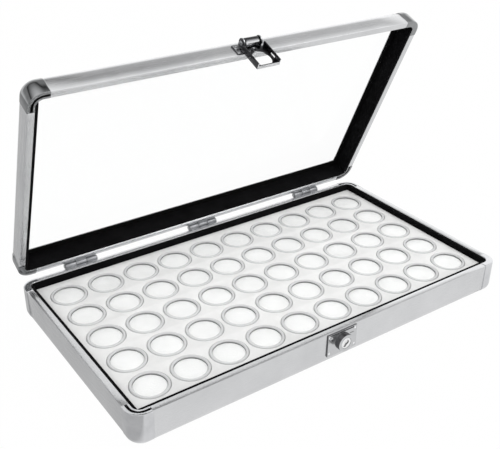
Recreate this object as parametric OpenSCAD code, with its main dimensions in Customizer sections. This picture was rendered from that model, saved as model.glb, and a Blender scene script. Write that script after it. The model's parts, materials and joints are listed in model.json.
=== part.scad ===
/* [Case] */
// Width of the case across the front
case_w = 375; // [300:1:450]
// Depth of the case from front to rear
case_d = 207; // [200:1:260]
// Height of the base at its rim
base_h = 29.8; // [28:0.1:40]
// Height of the lid
lid_h = 19.6; // [19:0.1:30]
// Gap between the closed lid and the base
seam_gap = 0.4; // [0.3:0.1:1]
// Angle at which the lid stands open
lid_open = 66.4; // [0:0.1:95]

/* [Rails] */
// Width of the base rim
base_rim_w = 5.8; // [5.4:0.1:6.4]
// Width of the lid rim
lid_rim_w = 5.9; // [5.4:0.1:6.4]
// Radius of the long outer edges
edge_r = 8; // [7:0.5:8]
// Radius of the corners seen from above
corner_r = 12; // [11.5:0.5:14]
// Length of a corner piece along each side
corner_leg = 16.5; // [15:0.5:20]
// How far a corner piece stands out from the rails
corner_proud = 0.4; // [0:0.1:0.8]
// Wall thickness of the hollow rails
skin = 1.2; // [1:0.1:1.4]

/* [Panels] */
// Thickness of the bottom panel
panel_t = 3; // [2.5:0.1:4]
// Thickness of the felt on the floor
felt_t = 1.5; // [1:0.1:2]
// Thickness of the lining strips on the walls
lining_t = 2.5; // [2:0.1:3]
// Thickness of the glass
glass_t = 2; // [1.5:0.1:2.5]

/* [Jars] */
// Jars along the width
jar_columns = 10; // [4:1:10]
// Rows of jars along the depth
jar_rows = 5; // [2:1:5]
// Distance between jars along the width
jar_pitch_x = 34.8; // [33:0.1:34.8]
// Distance between rows of jars
jar_pitch_y = 35.7; // [33:0.1:35.7]
// Outer radius of a jar cap
cap_r = 15.5; // [14:0.1:15.5]
// Column of the jar that lifts out
sample_column = 7; // [0:1:9]

/* [Hinges] */
// Distance from the middle hinge to each outer hinge
hinge_spacing = 129; // [90:1:140]
// Width of a hinge
hinge_w = 30; // [24:1:40]
// Radius of the hinge barrel
barrel_r = 2.8; // [2.6:0.1:2.9]
// Distance of the hinge axis behind the case
hinge_offset = 3.5; // [3.4:0.1:4]

/* [Lock] */
// Width of the lock plate
lock_plate_w = 30; // [28:1:36]
// Radius of the round lock boss
boss_r = 7.6; // [7.6:0.1:7.8]
// Height of the lock centre above the underside
lock_z = 19.2; // [19:0.1:19.4]

/* [Latch] */
// Width of the latch plate on the lid
latch_plate_w = 30; // [28:1:40]
// Outer width of the hasp
hasp_w = 21.8; // [21.6:0.1:22.4]
// Height of the free end of the closed hasp
hasp_end_z = 9.5; // [8.5:0.1:9.8]
// Height of the hasp pin with the lid closed
hasp_pin_z = 37.8; // [37.6:0.1:38]

/* [Hidden] */
$fn = 48;

// Small lengths used all over
eps = 0.01;
fit = 0.05;
rivet_fit = 0.02;

// Places of the main surfaces
front_y = -case_d / 2;
rear_y = case_d / 2;
lid_z = base_h + seam_gap;
hinge_y = rear_y + hinge_offset;
hinge_z = base_h;

// Rails and corners
ledge_w = 11;
ledge_t = 1.5;
chamber_low = 9.4;
groove_depth = 2;
groove_u = 2.2;
groove_w = 1.4;
core_play = 0.15;
core_reach = 18;
corner_rivet_r = 1.6;
corner_rivet_inset = corner_leg + 9;

// Panels, linings and glass
panel_play = 0.1;
lining_drop = 0.4;
lining_play = 0.1;
lip_w = 11;
lip_t = 1;
seal_t = 1;
seal_reach = 7;
glass_play = 0.3;
glass_top = lid_h - lip_t;
glass_low = glass_top - glass_t;
seal_low = glass_low - seal_t;

// Foam insert and jars
insert_play = 0.5;
insert_low = panel_t + felt_t + 0.3;
insert_top = 24;
pocket_play = 0.4;
pocket_low = insert_low + 2;
cap_top = 23.6;
cap_h = 8;
cap_t = 1.2;
skirt_t = 0.82;
cup_wall = 1.1;
cup_top = 22;
pad_top = 22.1;
cup_r = cap_r - skirt_t - 0.08;

// Hinges
hinge_pin_r = 1.2;
leaf_t = 1.2;
base_leaf_low = 14;
lid_leaf_top = lid_z + 11.4;
knuckle_w = 9.7;
knuckle_gap = 0.3;
knuckle_room = 0.3;
pin_head_r = 1.9;
pin_head_t = 0.8;
hinge_rivet_r = 1.4;
hinge_rivet_x = 10;
hinge_rivet_inset = 4.2;
rivet_head_r = 2.4;
rivet_head_t = 0.8;

// Lock
plate_t = 1.2;
lock_plate_low = 8.2;
lock_plate_top = 29;
boss_out = 6.2;
key_disc_r = 4.8;
key_disc_out = 6.1;
key_disc_t = 1.3;
axle_r = 1;
tail_r = 4;
tail_t = 2.6;
tail_in = 0.4;
housing_r = 5.2;
housing_len = 3.1;
crank_r = 2.7;
crank_pin_r = 0.8;
bolt_t = 1.4;
bolt_back = 3;
bolt_half_h = 4.3;
bolt_tail_x = -5.4;
bolt_shoulder_x = 0.9;
bolt_tip_x = 7.2;
bolt_tongue_half = 2.5;
bolt_play = 0.15;
bolt_travel = 2 * crank_r * sin(45);
flush_rivet_r = 1.2;
flush_rivet_x = 13.2;
flush_rivet_inset = 2.6;
key_depth = 1;
key_hole_r = 1.9;
key_slot_w = 2.2;
key_slot_h = 4.4;
key_tilt = 34;
groove_z = 27.2;
groove_h = 1.4;
groove_half = 11.8;
groove_deep = 0.9;
line_z = 23;
line_h = 0.6;
line_deep = 0.5;

// Latch
latch_plate_low = lid_z + 0.8;
latch_plate_top = lid_z + 11.4;
latch_rivet_x = 12.7;
latch_rivet_inset = 7.4;
hasp_pin_out = 5.2;
hasp_pin_r = 1.25;
hasp_barrel_r = 3.6;
hasp_barrel_w = 14.6;
hasp_barrel_round = 1.8;
ear_t = 1.2;
ear_r = 4;
ear_low = 34;
ear_play = 0.3;
hasp_wall_out = 7;
hasp_t = 0.9;
hasp_back = 1.7;
hasp_lip_out = 4.6;
hasp_shoulder_z = 33.6;
boss_hole_play = 0.85;
bead_r = 3;
bead_hole_r = 1.9;
bead_t = 0.5;
bead_gap = 0.2;
bolt_window_play = 0.3;

// Sample jar in the front row
sample_x = (sample_column - (jar_columns - 1) / 2) * jar_pitch_x;
sample_y = -(jar_rows - 1) / 2 * jar_pitch_y;

// Turns a piece drawn with the lid closed to the open lid
module on_open_lid() {
    translate([0, hinge_y, hinge_z])
        rotate([-lid_open, 0, 0])
            translate([0, -hinge_y, -hinge_z])
                children();
}

// Carries a piece drawn for the front side to another side, at that side's distance
module on_side(angle, reach) {
    rotate([0, 0, angle])
        translate([0, -reach, 0])
            children();
}

// Runs a profile along X, its first axis pointing inwards and its second up
module run(length) {
    rotate([90, 0, 90])
        linear_extrude(length, center = true)
            children();
}

// Lies a cylinder along +Y, from y = 0
module rod_y(radius, length) {
    rotate([-90, 0, 0])
        cylinder(r = radius, h = length);
}

// Lies a cylinder along X, centred
module rod_x(radius, length) {
    rotate([0, 90, 0])
        cylinder(r = radius, h = length, center = true);
}

// Flat outline with round corners
module round_outline(half_x, half_y, radius) {
    square([2 * (half_x - radius), 2 * half_y], center = true);
    square([2 * half_x, 2 * (half_y - radius)], center = true);
    for (sx = [-1, 1])
        for (sy = [-1, 1])
            translate([sx * (half_x - radius), sy * (half_y - radius)])
                circle(radius);
}

// Section of the base wall, with the rounded lower edge and the ledge under the panel
module base_section(proud) {
    difference() {
        union() {
            translate([-proud, edge_r])
                square([base_rim_w + proud, base_h - edge_r]);
            intersection() {
                translate([edge_r - proud, edge_r])
                    circle(edge_r);
                translate([-proud, 0])
                    square([edge_r, edge_r + eps]);
            }
            translate([edge_r - proud - eps, 0])
                square([ledge_w - edge_r + proud + eps, ledge_t]);
        }
        translate([base_rim_w, ledge_t])
            square([ledge_w, base_h]);
    }
}

// Section of the lid wall, with the rounded upper edge and the lip over the glass
module lid_section(proud) {
    difference() {
        union() {
            translate([-proud, 0])
                square([lid_rim_w + proud, lid_h - edge_r]);
            intersection() {
                translate([edge_r - proud, lid_h - edge_r])
                    circle(edge_r);
                translate([-proud, lid_h - edge_r - eps])
                    square([edge_r, edge_r + eps]);
            }
            translate([edge_r - proud - eps, lid_h - lip_t])
                square([lip_w - edge_r + proud + eps, lip_t]);
        }
        translate([lid_rim_w, -eps])
            square([lip_w, lid_h - lip_t + eps]);
    }
}

// Hollow of the wall, between the skins
module base_chamber(play, top) {
    translate([skin + play, chamber_low + play])
        square([base_rim_w - 2 * skin - 2 * play, top - chamber_low - 2 * play]);
}

module lid_chamber(play, low) {
    translate([skin + play, low + play])
        square([lid_rim_w - 2 * skin - 2 * play, lid_h - edge_r - skin - low - 2 * play]);
}

// Takes a section round a corner, with a straight leg on each side
module corner_run(leg) {
    rotate([0, 0, 180])
        rotate_extrude(angle = 90)
            translate([corner_r, 0])
                mirror([1, 0])
                    children();
    translate([leg / 2, -corner_r, 0])
        run(leg)
            children();
    translate([-corner_r, leg / 2, 0])
        rotate([0, 0, -90])
            run(leg)
                children();
}

// Places a corner drawn for the front left, mirrored to the others
module at_corner(sx, sy) {
    mirror([sx > 0 ? 1 : 0, 0, 0])
        mirror([0, sy > 0 ? 1 : 0, 0])
            translate([corner_r - case_w / 2, corner_r - case_d / 2, 0])
                children();
}

// Rivets through the inner skin, near each end of every side
module corner_rivets(radius, low_u, high_u, z) {
    for (side = [[0, case_w, case_d], [180, case_w, case_d], [-90, case_d, case_w], [90, case_d, case_w]])
        for (end = [-1, 1])
            on_side(side[0], side[2] / 2)
                translate([end * (side[1] / 2 - corner_rivet_inset), low_u, z])
                    rod_y(radius, high_u - low_u);
}

base_rivet_z = (chamber_low + base_h) / 2;
lid_rivet_z = (lid_h - edge_r) / 2;

// Hinge rivets, two to a leaf, with their heads behind the leaf
module hinge_rivet_set(radius, z, depth) {
    for (hinge_x = [-hinge_spacing, 0, hinge_spacing])
        for (side = [-1, 1])
            translate([hinge_x + side * hinge_rivet_x, rear_y + leaf_t - depth, z])
                rod_y(radius, depth);
}

module hinge_rivet_heads(z) {
    for (hinge_x = [-hinge_spacing, 0, hinge_spacing])
        for (side = [-1, 1])
            translate([hinge_x + side * hinge_rivet_x, rear_y + leaf_t, z])
                rod_y(rivet_head_r, rivet_head_t);
}

base_hinge_rivet_z = base_leaf_low + hinge_rivet_inset;
lid_hinge_rivet_z = lid_leaf_top - hinge_rivet_inset;
hinge_rivet_len = leaf_t + skin + 1;

// Straight rail of the base, with its hollow open at both ends
module base_rail(angle, across, reach) {
    length = across - 2 * corner_leg;
    difference() {
        on_side(angle, reach)
            run(length)
                difference() {
                    base_section(0);
                    base_chamber(0, base_h - skin);
                }
        corner_rivets(corner_rivet_r + rivet_fit, skin + eps, base_rim_w + eps, base_rivet_z);
    }
}

// Straight rail of the lid
module lid_rail(angle, across, reach) {
    length = across - 2 * corner_leg;
    translate([0, 0, lid_z])
        difference() {
            on_side(angle, reach)
                run(length)
                    difference() {
                        lid_section(0);
                        lid_chamber(0, skin);
                    }
            corner_rivets(corner_rivet_r + rivet_fit, skin + eps, lid_rim_w + eps, lid_rivet_z);
        }
}

module base_front_rail() {
    color("gainsboro")
        difference() {
            base_rail(0, case_w, case_d / 2);
            translate([0, front_y - eps, lock_z])
                rod_y(housing_r + fit, skin + 2 * eps);
            flush_rivets(flush_rivet_r + rivet_fit, 2 * eps);
        }
}

module base_rear_rail() {
    color("gainsboro")
        difference() {
            base_rail(180, case_w, case_d / 2);
            hinge_rivet_set(hinge_rivet_r + rivet_fit, base_hinge_rivet_z, leaf_t + skin + eps);
        }
}

module base_left_rail() {
    color("silver")
        base_rail(-90, case_d, case_w / 2);
}

module base_right_rail() {
    color("silver")
        base_rail(90, case_d, case_w / 2);
}

// Cast corner of the base, with the curved groove in its top
module base_corner(sx, sy) {
    groove_low = base_h - groove_depth;
    color("lightgray")
        at_corner(sx, sy)
            corner_run(corner_leg - corner_r)
                difference() {
                    base_section(corner_proud);
                    base_chamber(0, groove_low - skin);
                    translate([groove_u, groove_low])
                        square([groove_w, groove_depth + 1]);
                }
}

module base_corner_front_left() { base_corner(-1, -1); }
module base_corner_front_right() { base_corner(1, -1); }
module base_corner_rear_left() { base_corner(-1, 1); }
module base_corner_rear_right() { base_corner(1, 1); }

// Keys inside the corners that reach into the rails
module base_corner_cores() {
    color("darkgray")
        difference() {
            for (sx = [-1, 1])
                for (sy = [-1, 1])
                    at_corner(sx, sy)
                        corner_run(corner_leg - corner_r + core_reach)
                            base_chamber(core_play, base_h - groove_depth - skin);
            corner_rivets(corner_rivet_r + rivet_fit, skin, base_rim_w, base_rivet_z);
        }
}

module base_corner_rivets() {
    color("dimgray")
        corner_rivets(corner_rivet_r, skin + core_play, base_rim_w, base_rivet_z);
}

// Panel that drops into the rails and lies flush underneath
module bottom_panel() {
    inner_r = corner_r - base_rim_w;
    color("saddlebrown") {
        translate([0, 0, ledge_t])
            linear_extrude(panel_t - ledge_t)
                round_outline(case_w / 2 - base_rim_w - panel_play, case_d / 2 - base_rim_w - panel_play,
                    inner_r - panel_play);
        linear_extrude(ledge_t + eps)
            round_outline(case_w / 2 - ledge_w - panel_play, case_d / 2 - ledge_w - panel_play,
                corner_r - ledge_w - panel_play);
    }
}

module floor_liner() {
    color("black")
        translate([0, 0, panel_t])
            linear_extrude(felt_t)
                round_outline(case_w / 2 - base_rim_w - panel_play, case_d / 2 - base_rim_w - panel_play,
                    corner_r - base_rim_w - panel_play);
}

// Outline inside a wall of a given width, drawn in by a margin
module inside_wall(rim_w, margin) {
    round_outline(case_w / 2 - rim_w - margin, case_d / 2 - rim_w - margin,
        max(corner_r - rim_w - margin, 0.5));
}

// Strip along the front or rear wall, shaped to the corners at both ends
module long_lining(side, rim_w, low, high) {
    color("black")
        translate([0, 0, low])
            linear_extrude(high - low)
                intersection() {
                    inside_wall(rim_w, lining_play);
                    translate([0, side * (case_d / 2 - rim_w - lining_t / 2)])
                        square([case_w, lining_t], center = true);
                }
}

// Strip along the left or right wall, butted against the long strips
module short_lining(side, rim_w, low, high) {
    length = case_d - 2 * (rim_w + lining_t + lining_play);
    color("black")
        translate([0, 0, low])
            linear_extrude(high - low)
                intersection() {
                    inside_wall(rim_w, lining_play);
                    translate([side * (case_w / 2 - rim_w - lining_t / 2), 0])
                        square([lining_t, length], center = true);
                }
}

base_lining_low = panel_t + felt_t;
base_lining_high = base_h - lining_drop;

module base_lining_front() {
    long_lining(-1, base_rim_w, base_lining_low, base_lining_high);
}

module base_lining_rear() {
    long_lining(1, base_rim_w, base_lining_low, base_lining_high);
}

module base_lining_left() {
    short_lining(-1, base_rim_w, base_lining_low, base_lining_high);
}

module base_lining_right() {
    short_lining(1, base_rim_w, base_lining_low, base_lining_high);
}

// Leaf on the rear face of the base, with a knuckle at each end
module hinge_base_leaf(hinge_x) {
    knuckle_x = (hinge_w - knuckle_w) / 2;
    color("dimgray")
        translate([hinge_x, 0, 0])
            difference() {
                union() {
                    translate([-hinge_w / 2, rear_y, base_leaf_low])
                        cube([hinge_w, leaf_t, hinge_z - barrel_r - knuckle_room - base_leaf_low]);
                    for (side = [-1, 1])
                        translate([side * knuckle_x, hinge_y, hinge_z]) {
                            rod_x(barrel_r, knuckle_w);
                            translate([-knuckle_w / 2, -hinge_offset, -barrel_r - knuckle_room - eps])
                                cube([knuckle_w, leaf_t, barrel_r + knuckle_room + eps]);
                        }
                }
                translate([0, hinge_y, hinge_z])
                    rod_x(hinge_pin_r + fit, hinge_w + 2);
                translate([-hinge_x, 0, 0])
                    hinge_rivet_set(hinge_rivet_r + rivet_fit, base_hinge_rivet_z, leaf_t + eps);
            }
}

module hinge_base_leaf_left() { hinge_base_leaf(-hinge_spacing); }
module hinge_base_leaf_middle() { hinge_base_leaf(0); }
module hinge_base_leaf_right() { hinge_base_leaf(hinge_spacing); }

// Pin through all the knuckles, with a head at each end
module hinge_pin(hinge_x) {
    color("darkgray")
        translate([hinge_x, hinge_y, hinge_z]) {
            rod_x(hinge_pin_r, hinge_w + 2 * fit);
            for (side = [-1, 1])
                translate([side * (hinge_w / 2 + fit + pin_head_t / 2), 0, 0])
                    rod_x(pin_head_r, pin_head_t);
        }
}

module hinge_pin_left() { hinge_pin(-hinge_spacing); }
module hinge_pin_middle() { hinge_pin(0); }
module hinge_pin_right() { hinge_pin(hinge_spacing); }

module hinge_base_rivets() {
    color("silver") {
        hinge_rivet_set(hinge_rivet_r, base_hinge_rivet_z, hinge_rivet_len);
        hinge_rivet_heads(base_hinge_rivet_z);
    }
}

// Flush rivets at the corners of the lock plate
module flush_rivets(radius, extra) {
    for (sx = [-1, 1])
        for (z = [lock_plate_low + flush_rivet_inset, lock_plate_top - flush_rivet_inset])
            translate([sx * flush_rivet_x, front_y - plate_t - extra, z])
                rod_y(radius, plate_t + skin + 2 * extra);
}

// Plate with the round boss that houses the key disc and guides the bolt
module lock_plate() {
    plate_h = lock_plate_top - lock_plate_low;
    channel_h = 2 * (bolt_half_h + bolt_play);
    channel_w = bolt_shoulder_x - bolt_tail_x + bolt_travel + 2 * bolt_play;
    channel_t = bolt_t + 2 * bolt_play;
    channel_y = front_y - bolt_back - bolt_t - bolt_play;
    color("whitesmoke")
        difference() {
            union() {
                translate([-lock_plate_w / 2, front_y - plate_t, lock_plate_low])
                    cube([lock_plate_w, plate_t, plate_h]);
                translate([0, front_y - boss_out, lock_z])
                    rod_y(boss_r, boss_out - plate_t + eps);
            }
            translate([0, front_y - boss_out - eps, lock_z])
                rod_y(key_disc_r + fit, boss_out - bolt_back - bolt_t);
            translate([0, front_y - boss_out - eps, lock_z])
                rod_y(axle_r + fit, boss_out + 2 * eps);
            translate([bolt_tail_x - bolt_play, channel_y, lock_z - channel_h / 2])
                cube([channel_w, channel_t, channel_h]);
            translate([0, channel_y, lock_z - bolt_tongue_half - bolt_play])
                cube([boss_r + 1, channel_t, 2 * (bolt_tongue_half + bolt_play)]);
            translate([-groove_half, front_y - plate_t - eps, groove_z])
                cube([2 * groove_half, groove_deep + eps, groove_h]);
            for (side = [0, 1])
                mirror([side, 0, 0])
                    translate([boss_r, front_y - plate_t - eps, line_z])
                        cube([groove_half - boss_r, line_deep + eps, line_h]);
            flush_rivets(flush_rivet_r + rivet_fit, eps);
        }
}

// Cup behind the plate that holds the tail of the lock
module lock_housing() {
    color("darkgray")
        translate([0, front_y, lock_z])
            difference() {
                rod_y(housing_r, housing_len + skin);
                translate([0, -eps, 0])
                    rod_y(tail_r + fit, housing_len + eps);
            }
}

module lock_plate_rivets() {
    color("silver")
        flush_rivets(flush_rivet_r, 0);
}

// Key disc, axle, tail and the crank pin that drives the bolt
module lock_cylinder() {
    crank_x = -crank_r * sin(45);
    crank_z = crank_r * cos(45);
    disc_back = key_disc_out - key_disc_t;
    color("gainsboro")
        difference() {
            translate([0, front_y, lock_z]) {
                translate([0, -key_disc_out, 0])
                    rod_y(key_disc_r, key_disc_t);
                translate([0, -disc_back - eps, 0])
                    rod_y(axle_r, disc_back + tail_in + 2 * eps);
                translate([0, tail_in, 0])
                    rod_y(tail_r, tail_t);
                translate([crank_x, -disc_back - eps, crank_z])
                    rod_y(crank_pin_r, bolt_t + bolt_play);
            }
            translate([0, front_y - key_disc_out - eps, lock_z])
                rotate([0, key_tilt, 0])
                    translate([0, 0, 1]) {
                        rod_y(key_hole_r, key_depth + eps);
                        translate([-key_slot_w / 2, 0, -key_slot_h])
                            cube([key_slot_w, key_depth + eps, key_slot_h]);
                    }
        }
}

// Flat bolt, slotted for the axle and the crank pin
module lock_bolt() {
    axle_half = axle_r + bolt_play;
    pin_half = crank_pin_r + bolt_play;
    slot_y = front_y - bolt_back - bolt_t - eps;
    slot_t = bolt_t + 2 * eps;
    color("darkgray")
        difference() {
            union() {
                translate([bolt_tail_x, front_y - bolt_back - bolt_t, lock_z - bolt_half_h])
                    cube([bolt_shoulder_x - bolt_tail_x, bolt_t, 2 * bolt_half_h]);
                translate([bolt_shoulder_x - eps, front_y - bolt_back - bolt_t, lock_z - bolt_tongue_half])
                    cube([bolt_tip_x - bolt_shoulder_x + eps, bolt_t, 2 * bolt_tongue_half]);
            }
            translate([-bolt_travel - axle_half, slot_y, lock_z - axle_half])
                cube([bolt_travel + 2 * axle_half, slot_t, 2 * axle_half]);
            translate([-crank_r * sin(45) - pin_half, slot_y, lock_z])
                cube([2 * pin_half, slot_t, crank_r + pin_half]);
        }
}

module lid_front_rail() {
    color("darkgray")
        on_open_lid()
            difference() {
                lid_rail(0, case_w, case_d / 2);
                latch_rivets(flush_rivet_r + rivet_fit, 2 * eps);
            }
}

module lid_rear_rail() {
    color("darkgray")
        on_open_lid()
            difference() {
                lid_rail(180, case_w, case_d / 2);
                hinge_rivet_set(hinge_rivet_r + rivet_fit, lid_hinge_rivet_z, leaf_t + skin + eps);
            }
}

module lid_left_rail() {
    color("silver")
        on_open_lid()
            lid_rail(-90, case_d, case_w / 2);
}

module lid_right_rail() {
    color("silver")
        on_open_lid()
            lid_rail(90, case_d, case_w / 2);
}

// Cast corner of the lid, with the curved groove in its underside
module lid_corner(sx, sy) {
    color("gray")
        on_open_lid()
            translate([0, 0, lid_z])
                at_corner(sx, sy)
                    corner_run(corner_leg - corner_r)
                        difference() {
                            lid_section(corner_proud);
                            lid_chamber(0, groove_depth + skin);
                            translate([groove_u, -1])
                                square([groove_w, groove_depth + 1]);
                        }
}

module lid_corner_front_left() { lid_corner(-1, -1); }
module lid_corner_front_right() { lid_corner(1, -1); }
module lid_corner_rear_left() { lid_corner(-1, 1); }
module lid_corner_rear_right() { lid_corner(1, 1); }

module lid_corner_cores() {
    color("darkgray")
        on_open_lid()
            translate([0, 0, lid_z])
                difference() {
                    for (sx = [-1, 1])
                        for (sy = [-1, 1])
                            at_corner(sx, sy)
                                corner_run(corner_leg - corner_r + core_reach)
                                    lid_chamber(core_play, groove_depth + skin);
                    corner_rivets(corner_rivet_r + rivet_fit, skin, lid_rim_w, lid_rivet_z);
                }
}

module lid_corner_rivets() {
    color("dimgray")
        on_open_lid()
            translate([0, 0, lid_z])
                corner_rivets(corner_rivet_r, skin + core_play, lid_rim_w, lid_rivet_z);
}

module glass_pane() {
    color("lightblue", 0.4)
        on_open_lid()
            translate([0, 0, lid_z + glass_low])
                linear_extrude(glass_t)
                    inside_wall(lid_rim_w, glass_play);
}

// Rubber frame that the glass beds on
module glass_seal() {
    color("black")
        on_open_lid()
            translate([0, 0, lid_z + seal_low])
                linear_extrude(seal_t)
                    difference() {
                        inside_wall(lid_rim_w, glass_play);
                        inside_wall(lid_rim_w, seal_reach);
                    }
}

lid_lining_low = lid_z + lining_drop;
lid_lining_high = lid_z + seal_low;

module lid_lining_front() {
    on_open_lid()
        long_lining(-1, lid_rim_w, lid_lining_low, lid_lining_high);
}

module lid_lining_rear() {
    on_open_lid()
        long_lining(1, lid_rim_w, lid_lining_low, lid_lining_high);
}

module lid_lining_left() {
    on_open_lid()
        short_lining(-1, lid_rim_w, lid_lining_low, lid_lining_high);
}

module lid_lining_right() {
    on_open_lid()
        short_lining(1, lid_rim_w, lid_lining_low, lid_lining_high);
}

// Leaf on the rear face of the lid, with one knuckle between those of the base
module hinge_lid_leaf(hinge_x) {
    middle_w = hinge_w - 2 * knuckle_w - 2 * knuckle_gap;
    plate_low = hinge_z + barrel_r + knuckle_room;
    color("dimgray")
        on_open_lid()
            translate([hinge_x, 0, 0])
                difference() {
                    union() {
                        translate([-hinge_w / 2, rear_y, plate_low])
                            cube([hinge_w, leaf_t, lid_leaf_top - plate_low]);
                        translate([0, hinge_y, hinge_z])
                            rod_x(barrel_r, middle_w);
                        translate([-middle_w / 2, rear_y, hinge_z])
                            cube([middle_w, leaf_t, plate_low - hinge_z + eps]);
                    }
                    translate([0, hinge_y, hinge_z])
                        rod_x(hinge_pin_r + fit, hinge_w + 2);
                    translate([-hinge_x, 0, 0])
                        hinge_rivet_set(hinge_rivet_r + rivet_fit, lid_hinge_rivet_z, leaf_t + eps);
                }
}

module hinge_lid_leaf_left() { hinge_lid_leaf(-hinge_spacing); }
module hinge_lid_leaf_middle() { hinge_lid_leaf(0); }
module hinge_lid_leaf_right() { hinge_lid_leaf(hinge_spacing); }

module hinge_lid_rivets() {
    color("silver")
        on_open_lid() {
            hinge_rivet_set(hinge_rivet_r, lid_hinge_rivet_z, hinge_rivet_len);
            hinge_rivet_heads(lid_hinge_rivet_z);
        }
}

module latch_rivets(radius, extra) {
    for (sx = [-1, 1])
        translate([sx * latch_rivet_x, front_y - plate_t - extra, latch_plate_low + latch_rivet_inset])
            rod_y(radius, plate_t + skin + 2 * extra);
}

// Plate on the lid with two ears for the hasp pin
module latch_plate() {
    ear_x = hasp_barrel_w / 2 + ear_play + ear_t / 2;
    color("gainsboro")
        on_open_lid()
            difference() {
                union() {
                    translate([-latch_plate_w / 2, front_y - plate_t, latch_plate_low])
                        cube([latch_plate_w, plate_t, latch_plate_top - latch_plate_low]);
                    for (side = [-1, 1])
                        translate([side * ear_x, front_y, 0]) {
                            translate([0, -hasp_pin_out, hasp_pin_z])
                                rod_x(ear_r, ear_t);
                            translate([-ear_t / 2, -hasp_pin_out, ear_low])
                                cube([ear_t, hasp_pin_out - plate_t + eps, latch_plate_top - ear_low]);
                        }
                }
                translate([0, front_y - hasp_pin_out, hasp_pin_z])
                    rod_x(hasp_pin_r + fit, latch_plate_w);
                latch_rivets(flush_rivet_r + rivet_fit, eps);
            }
}

module latch_plate_rivets() {
    color("silver")
        on_open_lid()
            latch_rivets(flush_rivet_r, 0);
}

// Barrel with rounded ends, lying along X
module hasp_barrel() {
    flat_r = hasp_barrel_r - hasp_barrel_round;
    flat_w = hasp_barrel_w - 2 * hasp_barrel_round;
    rotate([0, 90, 0])
        rotate_extrude() {
            translate([0, -hasp_barrel_w / 2])
                square([flat_r, hasp_barrel_w]);
            translate([0, -flat_w / 2])
                square([hasp_barrel_r, flat_w]);
            for (side = [-1, 1])
                translate([flat_r, side * flat_w / 2])
                    circle(hasp_barrel_round);
        }
}

// Tray that closes round the lock boss, hung on the barrel
module latch_hasp() {
    boss_hole_r = boss_r + boss_hole_play;
    bead_z = lock_z + boss_hole_r + bead_gap + bead_r;
    floor_y = front_y - hasp_back - hasp_t;
    bolt_y = front_y - bolt_back - bolt_t - bolt_window_play;
    side_h = hasp_shoulder_z - hasp_end_z;
    side_x = hasp_w / 2 - hasp_t;
    window_half = bolt_tongue_half + bolt_window_play;
    color("whitesmoke")
        on_open_lid()
            difference() {
                union() {
                    translate([0, front_y - hasp_pin_out, hasp_pin_z])
                        hasp_barrel();
                    translate([-hasp_barrel_w / 2 + hasp_barrel_round, floor_y, hasp_shoulder_z - eps])
                        cube([hasp_barrel_w - 2 * hasp_barrel_round, hasp_t, hasp_pin_z - hasp_shoulder_z]);
                    translate([-hasp_w / 2, floor_y, hasp_end_z])
                        cube([hasp_w, hasp_t, side_h]);
                    translate([-hasp_w / 2, front_y - hasp_lip_out, hasp_end_z])
                        cube([hasp_w, hasp_lip_out - hasp_back, hasp_t]);
                    for (side = [-1, 1])
                        translate([side > 0 ? side_x : -hasp_w / 2, front_y - hasp_wall_out, hasp_end_z])
                            cube([hasp_t, hasp_wall_out - hasp_back, side_h]);
                    translate([0, floor_y - bead_t, bead_z])
                        rod_y(bead_r, bead_t + eps);
                }
                translate([0, front_y - hasp_pin_out, hasp_pin_z])
                    rod_x(hasp_pin_r + fit, hasp_barrel_w + 2);
                translate([0, floor_y - eps, lock_z])
                    rod_y(boss_hole_r, hasp_t + 2 * eps);
                translate([0, floor_y - bead_t - eps, bead_z])
                    rod_y(bead_hole_r, hasp_t + bead_t + 2 * eps);
                translate([side_x - 1, bolt_y, lock_z - window_half])
                    cube([hasp_t + 2, bolt_t + 2 * bolt_window_play, 2 * window_half]);
            }
}

// Pin through the ears and the barrel, headed outside the ears
module hasp_pin() {
    ears_w = hasp_barrel_w + 2 * (ear_play + ear_t) + 2 * fit;
    color("silver")
        on_open_lid()
            translate([0, front_y - hasp_pin_out, hasp_pin_z]) {
                rod_x(hasp_pin_r, ears_w);
                for (side = [-1, 1])
                    translate([side * (ears_w + pin_head_t) / 2, 0, 0])
                        rod_x(pin_head_r, pin_head_t);
            }
}

// Puts a piece at every jar place, or at all but the sample jar's
module at_jars(with_sample) {
    for (column = [0 : jar_columns - 1])
        for (row = [0 : jar_rows - 1])
            if (with_sample || column != sample_column || row != 0)
                translate([(column - (jar_columns - 1) / 2) * jar_pitch_x,
                    (row - (jar_rows - 1) / 2) * jar_pitch_y, 0])
                    children();
}

module foam_insert() {
    half_x = case_w / 2 - base_rim_w - lining_t - insert_play;
    half_y = case_d / 2 - base_rim_w - lining_t - insert_play;
    color("white")
        difference() {
            translate([-half_x, -half_y, insert_low])
                cube([2 * half_x, 2 * half_y, insert_top - insert_low]);
            at_jars(true)
                translate([0, 0, pocket_low])
                    cylinder(r = cap_r + pocket_play, h = insert_top);
        }
}

module jar_cup() {
    translate([0, 0, pocket_low])
        difference() {
            cylinder(r = cup_r, h = cup_top - pocket_low);
            translate([0, 0, cup_wall])
                cylinder(r = cup_r - cup_wall, h = cup_top);
        }
}

module jar_cap() {
    translate([0, 0, cap_top - cap_h])
        difference() {
            cylinder(r = cap_r, h = cap_h);
            translate([0, 0, -eps])
                cylinder(r = cap_r - skirt_t, h = cap_h - cap_t + eps);
        }
}

module jar_pad() {
    pad_low = pocket_low + cup_wall;
    translate([0, 0, pad_low])
        cylinder(r = cup_r - cup_wall - panel_play, h = pad_top - pad_low);
}

module jar_cups() {
    color("azure", 0.6)
        at_jars(false)
            jar_cup();
}

module jar_caps() {
    color("azure", 0.4)
        at_jars(false)
            jar_cap();
}

module jar_pads() {
    color("white")
        at_jars(false)
            jar_pad();
}

module sample_jar_cup() {
    color("azure", 0.6)
        translate([sample_x, sample_y, 0])
            jar_cup();
}

module sample_jar_pad() {
    color("white")
        translate([sample_x, sample_y, 0])
            jar_pad();
}

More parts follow.
